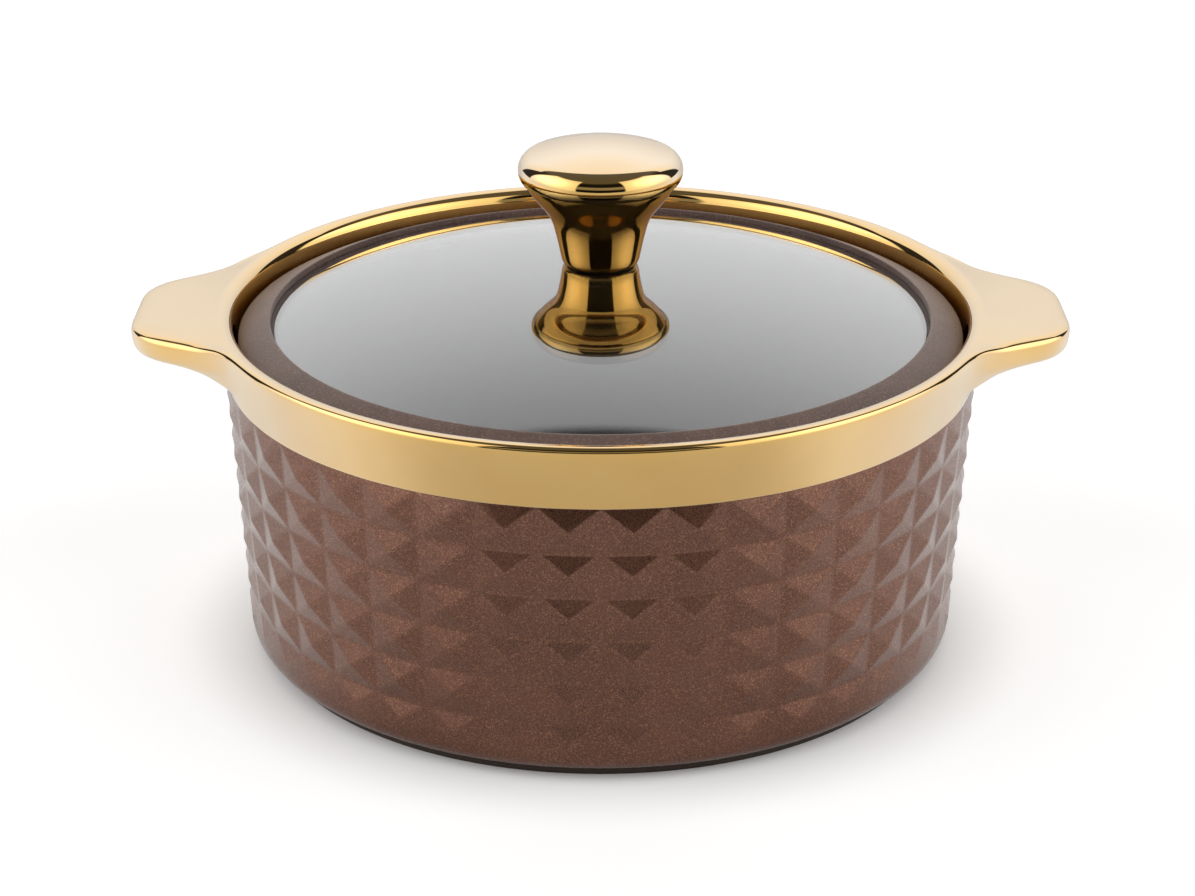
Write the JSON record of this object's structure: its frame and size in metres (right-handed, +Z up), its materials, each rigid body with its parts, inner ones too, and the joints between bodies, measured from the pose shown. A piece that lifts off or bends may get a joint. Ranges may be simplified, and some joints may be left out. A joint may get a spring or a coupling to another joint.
{
  "type": "casserole dish",
  "caption": "Round lidded casserole: faceted brown pot, gold rim collar with lug handles, and a lift-off domed glass lid with a soft rim and a mushroom knob.",
  "frame": {"origin": "on the table, under the pot's axis", "axes": "+Z up along the pot's axis, X through the two handles"},
  "size_m": [0.3104, 0.258, 0.1715],
  "materials": {
    "pot_coating": "satin brown metallic speckle coating on cast aluminium",
    "foot": "dark coated disc",
    "gold": "polished gold plating on cast aluminium",
    "glass": "clear tempered glass",
    "silicone": "matt brown silicone",
    "brass": "turned brass",
    "steel": "turned stainless steel",
    "washer": "matt dark silicone"
  },
  "bodies": {
    "pot": {"pot_body": "pot_coating", "base_disc": "foot", "rim_collar": "gold"},
    "lid": {"lid_glass": "glass", "lid_rim": "silicone", "knob_stem": "gold", "knob_cap": "gold", "knob_bush": "brass", "knob_screw": "steel", "upper_washer": "washer", "lower_washer": "washer", "screw_washer": "steel"}
  },
  "joints": [
    {"name": "lid_lift", "type": "slide", "parent": "pot", "child": "lid", "axis": [0, 0, 1], "range_m": [0, 0.12]}
  ]
}
